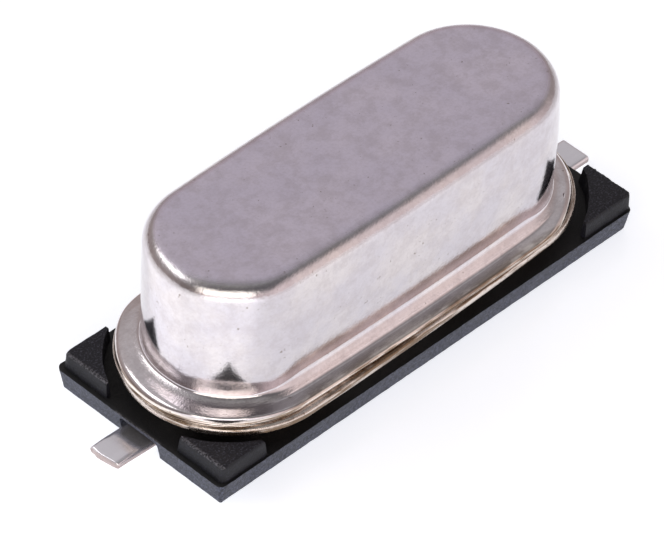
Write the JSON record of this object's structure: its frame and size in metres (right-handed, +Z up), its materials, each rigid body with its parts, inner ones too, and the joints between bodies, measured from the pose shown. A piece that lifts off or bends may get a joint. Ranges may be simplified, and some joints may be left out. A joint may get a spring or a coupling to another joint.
{
  "type": "quartz crystal",
  "caption": "Surface-mount quartz crystal: oval drawn metal can welded to a flanged header on a black moulded base, with a flat solder tab at each end.",
  "frame": {"origin": "middle of the flat underside of the moulded base, between the two pins", "axes": "+X along the length towards the longer solder tab, +Z up out of the circuit board, Y across the width"},
  "size_m": [0.0129, 0.0046, 0.0041],
  "materials": {
    "can_nickel": "satin",
    "header_nickel": "satin",
    "base_plastic": "satin",
    "lead_tin": "polished",
    "seal_glass": "gloss",
    "clip_nickel": "satin",
    "quartz": "gloss",
    "electrode_silver": "satin",
    "silver_adhesive": "matte"
  },
  "bodies": {
    "root": {"can": "can_nickel", "header": "header_nickel", "base": "base_plastic", "lead_left": "lead_tin", "lead_right": "lead_tin", "glass_seal_left": "seal_glass", "glass_seal_right": "seal_glass", "spring_clip_left": "clip_nickel", "spring_clip_right": "clip_nickel", "quartz_blank": "quartz", "electrode_top": "electrode_silver", "electrode_bottom": "electrode_silver", "adhesive_left": "silver_adhesive", "adhesive_right": "silver_adhesive"}
  },
  "joints": []
}
